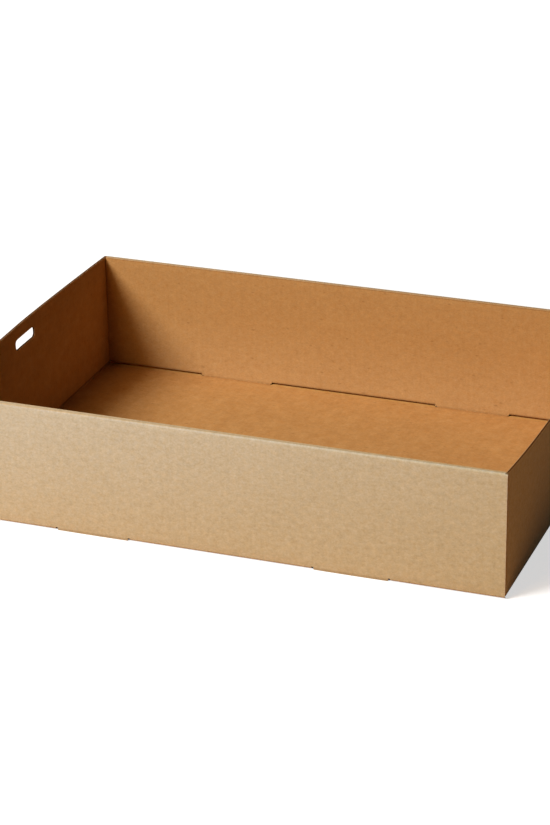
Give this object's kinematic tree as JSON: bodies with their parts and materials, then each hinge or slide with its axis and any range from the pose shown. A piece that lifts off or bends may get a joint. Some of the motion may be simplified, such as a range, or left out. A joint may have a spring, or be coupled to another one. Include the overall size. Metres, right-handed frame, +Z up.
{
  "type": "cardboard tray box",
  "caption": "Open rectangular tray folded from one sheet of brown corrugated board, with rolled double long walls, floor lock tabs, single end walls and handholes.",
  "frame": {"origin": "below the centre of the floor panel, level with the lower edges of the four lips of the outer walls, which the tray stands on; the underside of the floor is 0.5 mm higher", "axes": "+X along the tray from the left end wall to the right one, +Y from the front long wall to the back one, +Z up out of the open side"},
  "size_m": [0.367, 0.256, 0.0805],
  "materials": {
    "kraft_board": "uncoated brown kraft liner, matt, with raw cut edges"
  },
  "bodies": {
    "root": {"tray": "kraft_board"}
  },
  "joints": []
}
